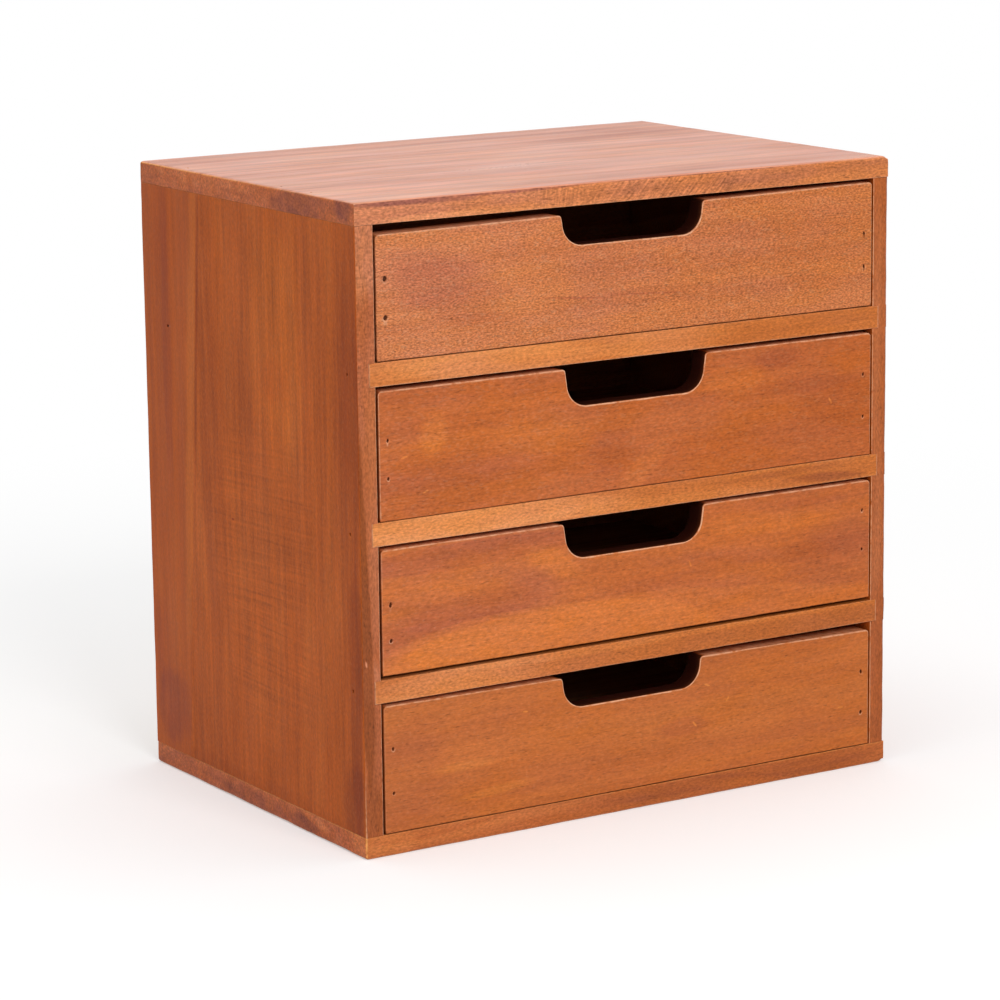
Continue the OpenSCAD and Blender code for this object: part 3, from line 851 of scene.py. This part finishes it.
def stained_wood(name, light, body, deep, grain="x", shift=(0, 0, 0), pith=(60, -90), climb=0.0,
                 bend=34.0, pitch=9.0, bands=0.3, clouds=0.7, cloud_size=38.0, streaks=0.15,
                 streak_size=3.0, streak_pull=0.035, fibres=0.25, fibre_size=0.7, fibre_length=20,
                 speckle=0.9, speckle_size=0.66, flecks=0.0, pores=0.3, blush=0.6, patches=(),
                 tool_marks=(), warmth=0.0, bare_and_highlight=(242, 188, 150), rub=0.9, roughness=0.45,
                 gloss=0.15):
    """Stained wood, whose colour goes from light over body to deep as the stain gets heavier.

    The stain is the sum of growth bands round a pith line, soft clouds and listed patches.
    Streaks, fibres, a fine speckle, dark pores and tool marks then scale the colour, blush tints it
    in drifts and flecks lays pale specks over it. Each is a noise round 0 times its amount, and its
    size is in millimetres: a fibre is fibre_length times as long as wide, and a streak
    1 / streak_pull times.

    pith is (across, deep) in millimetres, climb tilts it, which bends the bands into arches, and
    bend makes them wander. patches and tool_marks come from patches_on(). A patch ends in an
    amount, which darkens above 0, and it may add the softness of its edge; a tool mark ends in
    the stretch of its noise and an amount. warmth turns the right-hand end more orange, and the
    arrises are rubbed by rub towards a pale colour, which is wear of the stain and in part a
    painted highlight. Below 0 the mesh's attribute paints shade: near black in gaps and cut-outs,
    which also darkens end grain and slit floors."""
    w = Wiring(bpy.data.materials.new(name))
    flat = w.place()
    where = w.place(grain, shift)
    along, across, deep_in = w.split(where)

    streak = w.noise(where, (streak_pull / streak_size, 1 / streak_size, 1 / streak_size), 3.0, 0.55)
    fine = w.noise(where, (1 / fibre_length / fibre_size, 1 / fibre_size, 1 / fibre_size), 2.0, 0.6)
    grit = w.noise(where, (0.42 / speckle_size, 0.9 / speckle_size, 0.9 / speckle_size), 1.6, 0.55)
    cloud = w.noise(where, (0.42 / cloud_size, 1 / cloud_size, 1 / cloud_size), 3.0, 0.55)
    wander = w.noise(where, (0.008, 0.02, 0.02), 1.0)

    # Growth bands: a noise over the distance from the pith line
    across_bent = w.add(across, w.times_add(wander, bend, -bend / 2 - pith[0]))
    deep_bent = w.add(deep_in, w.times_add(along, climb, -pith[1]))
    radius = w.vector("LENGTH", w.joined(across_bent, deep_bent))
    turn = w.add(w.math("DIVIDE", radius, pitch), w.times(streak, 0.12))
    inputs = {"W": turn, "Scale": 1.0, "Detail": 2.0, "Roughness": 0.5}
    ring = w.node("TexNoise", inputs, noise_dimensions="1D").outputs[0]
    ring = w.range(ring, 0.36, 0.64)

    # The stain, and the colour that it gives
    stain = w.add(centred(w, ring, bands), w.times_add(cloud, clouds, 0.5 - clouds / 2))
    ragged = centred(w, w.noise(where, (0.02, 0.10, 0.10), 5.0, 0.62), 1.2)
    waving = centred(w, w.noise(where, (0.012, 0.03, 0.03), 1.0), 0.5)
    for place, size, turned, amount, *soft in patches:
        outline = waving if soft and soft[0] < CRISP_BELOW else ragged
        mask = patch_mask(w, flat, place, size, turned, outline, *soft)
        stain = w.times_add(mask, amount, stain)
    colour = w.ramp(stain, [(0.05, srgb(*light)), (0.5, srgb(*body)), (0.95, srgb(*deep))])

    # What scales the colour
    tone = w.add(centred(w, streak, streaks), centred(w, fine, fibres))
    tone = w.add(tone, centred(w, grit, speckle))
    dashes = w.range(w.noise(where, (0.30, 2.3, 2.3), 1.0), 0.64, 0.74)
    tone = w.times_add(dashes, -pores, tone)
    for place, size, turned, stretch, amount in tool_marks:
        mask = patch_mask(w, flat, place, size, (0, 0, 0), ragged)
        inputs = {"Vector": flat, "Rotation": [math.radians(angle) for angle in turned]}
        sloped = w.node("Mapping", inputs).outputs[0]
        field = centred(w, w.noise(sloped, stretch, 1.0, 0.5), amount)
        tone = w.times_add(mask, field, tone)
    colour = w.scaled(colour, w.add(tone, 1.0))

    # What tints it
    hue = w.range(w.noise(where, (0.025, 0.08, 0.08), 4.0, 0.6), 0.36, 0.64)
    colour = w.mix(blush, colour, w.mix(hue, *BLUSH_TINTS), "MULTIPLY")
    dots = w.range(w.noise(where, (0.6, 1.5, 1.5), 0.0), 0.6, 0.74)
    colour = w.mix(w.times(dots, flecks), colour, FLECK_COLOUR)
    if warmth:
        to_right = w.range(w.split(flat)[X], CASE_LOW[X] + 20, CASE_HIGH[X] - 10, 0.0, warmth)
        colour = w.mix(to_right, colour, WARM_TINT, "MULTIPLY")

    # Rubbed arrises above 0, pale as wear and in part as a painted highlight, and below 0 painted
    # shade in the gaps and the cut-outs, which also darkens end grain and slit floors, from the
    # mesh's own attribute
    wear_and_painted_light = w.node("Attribute", attribute_name="wear_and_painted_light").outputs["Fac"]
    rubbed = w.range(w.noise(flat, (0.35, 0.35, 0.35), 4.0, 0.6), 0.25, 0.6)
    thin = w.times(w.math("MAXIMUM", wear_and_painted_light, 0.0), w.times(rubbed, rub))
    colour = w.mix(thin, colour, srgb(*bare_and_highlight))
    soak_and_shade = w.times(w.math("MINIMUM", wear_and_painted_light, 0.0), -1.0)
    colour = w.mix(soak_and_shade, colour, SOAKED_AND_SHADE_COLOUR)

    # Relief and gloss
    height = w.add(w.times(fine, 0.5), w.times(grit, 0.7))
    height = w.times_add(dashes, -0.35, height)
    rough = w.add(centred(w, cloud, 0.2), centred(w, streak, 0.16))
    rough = w.add(rough, w.times_add(grit, 0.14, roughness - 0.07))
    return w.finish({"Base Color": colour, "Roughness": rough, "Specular IOR Level": gloss,
                     "Normal": w.bump(height, GRAIN_RELIEF, RELIEF_STRENGTH)})


def plywood():
    """Thin plywood: pale veneer with faint long grain."""
    w = Wiring(bpy.data.materials.new("plywood"))
    where = w.place()
    veneer = w.noise(where, (0.014, 0.30, 0.30), 4.0, 0.6)
    fine = w.noise(where, (0.05, 1.8, 1.8), 2.0, 0.6)
    tone = w.times_add(fine, 0.5, w.times_add(veneer, 0.7, -0.08))
    pale, middle, dark = srgb(226, 184, 138), srgb(206, 156, 108), srgb(170, 116, 72)
    colour = w.ramp(tone, [(0.2, dark), (0.55, middle), (0.85, pale)])
    rough = w.times_add(veneer, 0.2, 0.5)
    return w.finish({"Base Color": colour, "Roughness": rough, "Specular IOR Level": 0.3,
                     "Normal": w.bump(fine, 0.0001, 0.3)})


def brad_steel():
    """Dull steel with dark spots of tarnish."""
    w = Wiring(bpy.data.materials.new("brad_steel"))
    spots = w.noise(w.place(), (1.4, 1.4, 1.4), 3.0)
    colour = w.ramp(spots, [(0.3, srgb(58, 50, 46)), (0.6, srgb(120, 116, 112))])
    rough = w.times_add(spots, 0.3, 0.35)
    return w.finish({"Base Color": colour, "Roughness": rough, "Metallic": 0.9})


# Where the patches of each face lie: its axis, the place there and how far in they reach
PATCH_FACES = {
    "top": (Z, CASE_HIGH[Z], 40), "front": (Y, FRONT_Y, 20),
    "side": (X, CASE_LOW[X] - 0.5, 20), "end": (X, CASE_LOW[X] + 0.5, 10),
}


def patches_on(face, *rows):
    """Oval patches or tool marks on a face. A row starts with (a, b, reach_a, reach_b, turn), the
    oval's middle, half sizes and turn along the face's own two axes, in millimetres and degrees,
    and the rest of it says what the patch or the mark does."""
    axis, at, through = PATCH_FACES[face]
    made = []
    for a, b, reach_a, reach_b, turn, *rest in rows:
        place, size, turned = [a, b], [reach_a, reach_b], [0, 0]
        for values, value in ((place, at), (size, through), (turned, turn)):
            values.insert(axis, value)
        made.append((place, size, turned, *rest))
    return made


def nick(x, z, turn):
    """A row for a short pale nick in the front."""
    return x, z, 1.3, 0.4, turn, -0.9


# ---------------------------------------------------------------- the object

# The slant of the glued seam in the sides, in degrees
SEAM_TURN = 4.2

top_finish = stained_wood(
    "top_finish", shift=(40, 15, 7), light=(234, 159, 122), body=(206, 126, 90), deep=(172, 86, 46),
    pith=(-400, 0), bend=16.0, pitch=8.0, bands=0.3, clouds=0.55, streaks=0.22, streak_size=5.0,
    streak_pull=0.07, fibres=0.7, fibre_size=2.2, fibre_length=14, speckle=0.4, flecks=0.05,
    pores=0.12, blush=0.6, bare_and_highlight=(250, 170, 124), rub=1.0, roughness=0.35, gloss=0.5,
    patches=patches_on("top", (70, 44, 34, 7, 5, 0.34, 1.5), (40, 66, 60, 6, 0, 0.28, 1.5),
        (92, 58, 24, 8, -20, 0.2, 1.5), (-100, -60, 40, 20, 0, -0.2)))
lip_finish = stained_wood(
    "lip_finish", shift=(12, 0, 5), light=(230, 150, 98), body=(206, 127, 83), deep=(148, 86, 70),
    pitch=6.0, bands=0.15, clouds=0.4, fibres=0.25, speckle=1.5, warmth=0.95,
    patches=patches_on("front", (-96, 246.8, 30, 1.4, 1, 0.38, 0.8), (-48, 247.3, 30, 0.9, 0, 0.4, 0.5),
        (30, 247.7, 70, 0.5, 0, 0.4, 0.5), (-88, 240.8, 30, 1.2, 0, -0.25),
        (-54, 247.2, 1.5, 0.7, 20, 0.8, 0.3)),
    tool_marks=patches_on("front", (24, 244, 42, 14, 46, (0.1, 1.0, 1.0), 1.5),
        (-34, 244, 18, 14, 80, (0.1, 1.0, 0.9), 1.2)))
end_finish = stained_wood(
    "end_finish", shift=(0, 21, 8), light=(216, 126, 74), body=(190, 100, 54), deep=(140, 72, 52),
    bands=0.1, pitch=4.0, clouds=0.7, cloud_size=5.0, streaks=0.25, fibres=0.4, speckle=1.3,
    speckle_size=0.9, pores=0.4, bare_and_highlight=(250, 176, 96), gloss=0.12,
    patches=patches_on("end", (-42, 243, 22, 7, 0, 0.28), (-76, 245, 7, 4, 0, 0.3),
        (25, 246, 34, 3, 0, -0.15), (78, 244, 7, 9, 0, 0.1), (52, 4, 34, 6, 0, 0.1),
        (0, 3, 26, 4, 0, 0.22), (-38, 3, 12, 4, 0, 0.3), (-48, 6, 9, 2, 8, -0.3),
        (-80, 4, 6, 6, 0, -0.3)))
stave_wood = {
    "grain": "z", "pith": (25, -70), "climb": 0.06, "pitch": 8.0, "bands": 0.08, "cloud_size": 30.0,
    "streaks": 0.25, "fibre_size": 2.5, "pores": 0.1, "blush": 0.25, "bare_and_highlight": (230, 150, 90),
    "roughness": 0.5, "gloss": 0.1,
}
side_finish = stained_wood(
    "side_finish", shift=(10, 33, 5), light=(208, 111, 38), body=(184, 89, 28), deep=(142, 60, 20),
    clouds=0.45, streak_size=8.0, fibres=0.75, speckle=0.7, flecks=0.03, **stave_wood,
    patches=patches_on("side", (-22, 190, 24, 44, 0, -0.16), (30, 130, 10, 90, 0, 0.1),
        (-80, 60, 5, 64, 0, 0.22), (-22, 174, 12, 9, 0, 0.1), (0, 8, 80, 6, 0, 0.1),
        (-80, 166, 11, 88, 0, 0.3, 1.3), (-80, 18, 12, 16, 0, 0.24),
        (40.3, 185, 0.9, 75, SEAM_TURN, 0.2), (14, 114, 1, 0.5, 0, 0.9)),
    tool_marks=patches_on("side", (-20, 180, 30, 50, 0, (1.0, 0.3, 0.012), 0.75),
        (-8, 112, 44, 44, 2.5, (1.0, 0.022, 0.95), 0.52),
        (-14, 62, 40, 34, -2, (1.0, 0.022, 1.1), 0.45)))
side_rear_finish = stained_wood(
    "side_rear_finish", shift=(90, 4, 60), light=(206, 110, 40), body=(180, 86, 31),
    deep=(138, 62, 44), clouds=0.35, streak_size=7.0, fibres=0.4, speckle=0.5, flecks=0.02,
    **stave_wood,
    patches=patches_on("side", (69, 28, 16, 17, 12, 0.22, 0.5), (78, 52, 8, 22, 0, 0.12),
        (47, 150, 4.5, 110, SEAM_TURN, -0.24), (66, 185, 4, 70, 0, 0.16)))
edge_finish = stained_wood(
    "edge_finish", grain="z", shift=(60, 3, 25), light=(206, 132, 92), body=(178, 98, 56),
    deep=(146, 76, 37), bands=0.1, clouds=0.5, fibres=0.3, speckle=1.0, warmth=1.0,
    patches=patches_on("front", (-119, 230, 9, 18, 0, -0.3), (-116.2, 150, 2.6, 64, 0, -0.06),
        (-119, 24, 9, 52, 0, 0.12), (-122.6, 112, 3.5, 86, -2, 0.55, 0.4), (-119, 14, 9, 14, 0, 0.2),
        (-119.5, 68, 5, 9, 0, -0.25), (119, 150, 4, 80, 0, -0.05), (122.3, 120, 1.0, 150, 0, 0.3),
        (119, 30, 8, 40, 0, 0.1), nick(-121, 75.6, 80)),
    tool_marks=patches_on("front", (-119, 215, 9, 60, 0, (0.5, 1.0, 1.0), 0.9)))
divider_finish = stained_wood(
    "divider_finish", shift=(5, 0, 55), light=(236, 154, 93), body=(200, 116, 60), deep=(154, 82, 50),
    pitch=6.0, bands=0.15, clouds=0.5, speckle=1.1, warmth=0.9,
    patches=patches_on("front", (-60, 184, 50, 6, 0, -0.2), (10, 184, 34, 5, 0, -0.1),
        (-75, 124, 70, 6, 0, -0.35), (92, 122, 20, 2, 3, 0.28), (70, 126, 30, 1.5, -2, 0.15),
        (-80, 64, 44, 6, 0, -0.15), (85, 64, 40, 6, 0, 0.1)))
# The golden pale of the base's rubbed arrises is wear and in part a painted highlight at its front-left
# corner
base_finish = stained_wood(
    "base_finish", shift=(25, 0, 90), light=(224, 138, 74), body=(188, 104, 54), deep=(142, 76, 50),
    pitch=6.0, bands=0.12, clouds=0.5, speckle=1.0, bare_and_highlight=(246, 170, 100), warmth=0.6,
    patches=patches_on("front", (-112, 4, 12, 8, 0, -0.15), (15, 5, 40, 3, 0, 0.22),
        (85, 3, 34, 4, 0, 0.12)))
front_finishes = [
    stained_wood(
        "front_1_finish", light=(222, 143, 90), body=(201, 121, 76), deep=(168, 88, 62), bands=0.08,
        clouds=0.3, fibres=0.35, speckle=2.0, speckle_size=0.5, flecks=0.09, warmth=1.0,
        patches=patches_on("front", (-84, 213, 30, 13, 24, 0.2), (-50, 210, 26, 12, 0, -0.08),
            (30, 205, 90, 26, 0, 0.08), (-30, 205, 16, 0.4, 5, 0.25), (8, 203.4, 18, 0.3, 3, 0.2),
            nick(74, 199, 60)),
        tool_marks=patches_on("front", (50, 212, 60, 24, 40, (0.3, 1.0, 1.0), 0.6))),
    stained_wood(
        "front_2_finish", shift=(90, 0, 40), light=(214, 122, 58), body=(189, 101, 51),
        deep=(156, 76, 50), bands=0.08, clouds=0.3, streaks=0.2, fibres=0.4, speckle=0.8,
        speckle_size=0.72, flecks=0.05, blush=1.0, warmth=0.9,
        patches=patches_on("front", (-90, 159, 6, 8, 20, -0.26), (-43, 156, 22, 9, 0, -0.12),
            (-84, 142, 34, 12, 0, 0.1), (-10, 146, 11, 12, 0, 0.1), (4, 136, 16, 5, -40, -0.16),
            (68, 172, 12, 4, 0, 0.18), (92, 155, 22, 12, 20, 0.08), (47, 165, 14, 8, 0, -0.12),
            nick(-103, 152, -12), nick(-94, 138, -20), nick(94, 152.5, 60))),
    stained_wood(
        "front_3_finish", shift=(30, 9, 0), light=(214, 122, 58), body=(195, 108, 59),
        deep=(160, 80, 56), bands=0.08, clouds=0.22, streaks=0.2, fibres=0.4, speckle=0.75,
        speckle_size=0.74, flecks=0.05, blush=0.8, warmth=1.0,
        patches=patches_on("front", (-75, 112, 56, 5.5, -1, 0.16, 0.15), (-36, 103, 13, 5, 20, -0.26),
            (-82, 99, 26, 4, 0, -0.12), (-74, 91, 42, 7, -5, 0.2), (20, 93, 44, 5, 0, 0.1),
            (8, 60, 152, 28, 0, -0.18, 0.05), (-40, 60, 104, 28, 0, -0.2, 0.05),
            (62, 107, 36, 5, 4, -0.22), (86, 113, 18, 1.6, 0, 0.1), (96, 94, 30, 11, -6, 0.14),
            (-110, 74, 9, 9, 0, 0.1), nick(26, 95, 70))),
    stained_wood(
        "front_4_finish", shift=(70, 3, 20), light=(214, 128, 60), body=(194, 108, 52),
        deep=(160, 82, 54), bands=0.12, clouds=0.25, streaks=0.25, fibres=0.4, speckle=0.6,
        speckle_size=0.74, flecks=0.04, blush=0.6, warmth=0.5,
        patches=patches_on("front", (-103, 30, 18, 20, 0, 0.12), (-79, 30, 14, 2, 0, -0.2),
            (-66, 18, 18, 2, -4, -0.24), (23, 30, 12, 4, 0, 0.16), (55, 26, 22, 6, 0, -0.08),
            nick(34, 45, 20), nick(44, 38, -50), nick(28, 30, 50), nick(100, 26, 5), nick(-51, 47, 5))),
]
inner_finish = stained_wood(
    "inner_finish", shift=(120, 60, 0), light=(212, 150, 98), body=(190, 120, 74), deep=(156, 92, 56),
    bare_and_highlight=(222, 172, 126), speckle=0.6)

ends = {"left": end_finish, "right": end_finish}
add_cap("top_board", {"all": top_finish, "front": lip_finish, **ends},
        TOP_EDGES, 100, (1.7, 2.0, 2.0), is_top=True)
add_cap("bottom_board", {"all": base_finish, **ends},
        BOTTOM_EDGES, 200, (1.9, 3.0, 2.0), is_top=False)

# The numbers below are seeds, from which each board's own wear is drawn
for seed, hand in ((300, "left"), (400, "right")):
    add_stave(hand, "front", {"all": side_finish, "front": edge_finish}, seed)
    add_stave(hand, "rear", {"all": side_rear_finish, "rear": edge_finish}, seed + 50)
for seed, node in zip((500, 530, 560), SHELVES[1:4]):
    add_divider(node, {"all": divider_finish}, seed)
for number in range(4):
    add_drawer_front(number, front_finishes[number], 600 + 40 * number)
    add_drawer_box(number, inner_finish, 800 + 100 * number)

ply = plywood()
steel = brad_steel()
for name, node in frame["nodes"].items():
    for place in node.material_slots:
        if name == "back_panel" or name.endswith("_bottom"):
            place.material = ply
        if name.endswith("_brads"):
            place.material = steel

# ---------------------------------------------------------------- camera, light and floor

# The view, solved on the case's seven visible corners. A focal length in pixels is
# turned into millimetres of the sensor by the width of the image.
IMAGE_WIDTH = 1000
VIEW_AZIMUTH = math.radians(-32.19)
VIEW_ELEVATION = math.radians(11.64)
VIEW_ROLL = math.radians(-0.69)
VIEW_PLACE = (-0.8136, -1.2799, 0.4218)
VIEW_FOCAL = 3826.1


def add_camera():
    """The camera looks along -back; its own x and y are turned by the roll."""
    a, e = VIEW_AZIMUTH, VIEW_ELEVATION
    back = Vector((math.sin(a) * math.cos(e), -math.cos(a) * math.cos(e), math.sin(e)))
    level = Vector((0, 0, 1)).cross(back).normalized()
    upright = back.cross(level)
    c, s = math.cos(VIEW_ROLL), math.sin(VIEW_ROLL)
    x_axis = c * level + s * upright
    y_axis = c * upright - s * level
    data = bpy.data.cameras.new("view")
    data.sensor_width = 36.0
    data.lens = VIEW_FOCAL / IMAGE_WIDTH * data.sensor_width
    camera = bpy.data.objects.new("view", data)
    turn = Matrix((x_axis, y_axis, back)).transposed().to_4x4()
    camera.matrix_world = Matrix.Translation(VIEW_PLACE) @ turn
    bpy.context.scene.collection.objects.link(camera)
    bpy.context.scene.camera = camera


def add_softbox(name, place, aim, width, height, power, in_gloss=True):
    """A soft rectangular lamp that faces a point. Without in_gloss no gloss mirrors it."""
    data = bpy.data.lights.new(name, "AREA")
    data.shape = "RECTANGLE"
    data.size = width
    data.size_y = height
    data.energy = power
    lamp = bpy.data.objects.new(name, data)
    lamp.location = place
    lamp.rotation_euler = (Vector(aim) - Vector(place)).to_track_quat("-Z", "Y").to_euler()
    lamp.visible_glossy = in_gloss
    bpy.context.scene.collection.objects.link(lamp)


# The floor's own grey, how much of a glow lifts what is seen of it, and the distances from the
# cabinet, in metres, between which it fades to white
FLOOR_PALE = (0.8, 0.8, 0.8, 1)
FLOOR_LIFT = 0.3
CLEAR_FROM, CLEAR_TO = 0.22, 0.75
FLOOR_REACH = 6.0

# The strength of the plain light from all round
AMBIENT = 0.5


def seen_share(w):
    """1 for what the camera sees directly, in a gloss or through clear matter, or else 0."""
    rays = w.node("LightPath").outputs
    seen = w.math("MAXIMUM", rays["Is Camera Ray"], rays["Is Transmission Ray"])
    return w.math("MAXIMUM", seen, rays["Is Glossy Ray"])


def add_floor():
    """A pale floor that keeps the shadow. What the camera and a gloss see of it is lifted, and
    fades to white away from the cabinet."""
    mesh = bpy.data.meshes.new("floor")
    corners = [(x * FLOOR_REACH, y * FLOOR_REACH, 0) for x, y in ((-1, -1), (1, -1), (1, 1), (-1, 1))]
    mesh.from_pydata(corners, [], [(0, 1, 2, 3)])
    w = Wiring(bpy.data.materials.new("floor_white"))
    seen = seen_share(w)
    place = w.node("TexCoord").outputs["Object"]
    away = w.range(w.vector("LENGTH", place), CLEAR_FROM, CLEAR_TO)
    pale = w.node("BsdfDiffuse", {"Color": FLOOR_PALE}).outputs[0]
    glow = {"Color": WHITE, "Strength": w.times(seen, FLOOR_LIFT)}
    lift = w.node("Emission", glow).outputs[0]
    near = w.node("AddShader", {0: pale, 1: lift}).outputs[0]
    far = w.node("Emission", {"Color": WHITE, "Strength": 1.0}).outputs[0]
    shares = {0: w.times(seen, away), 1: near, 2: far}
    both = w.node("MixShader", shares).outputs[0]
    w.node("OutputMaterial", {"Surface": both})
    mesh.materials.append(w.owner)
    floor = bpy.data.objects.new("floor", mesh)
    bpy.context.scene.collection.objects.link(floor)


def add_world():
    """White where it is seen directly or in a gloss, and a plain soft light otherwise."""
    w = Wiring(bpy.data.worlds.new("studio"))
    strength = w.node("MapRange", {"Value": seen_share(w), "To Min": AMBIENT}).outputs[0]
    light = w.node("Background", {"Color": WHITE, "Strength": strength}).outputs[0]
    w.node("OutputWorld", {"Surface": light})
    bpy.context.scene.world = w.owner


# The lamps face the middle of the case
CASE_MIDDLE = (0, 0, 0.12)
add_camera()
add_floor()
add_world()
add_softbox("key", (-0.2, -2.1, 1.3), CASE_MIDDLE, 1.2, 1.0, 24, in_gloss=False)
add_softbox("fill", (-2.2, -0.3, 0.9), CASE_MIDDLE, 1.0, 1.0, 3)
add_softbox("overhead", (0.0, 0.1, 1.7), CASE_MIDDLE, 1.6, 1.2, 8)
bpy.context.scene.view_settings.view_transform = "Standard"
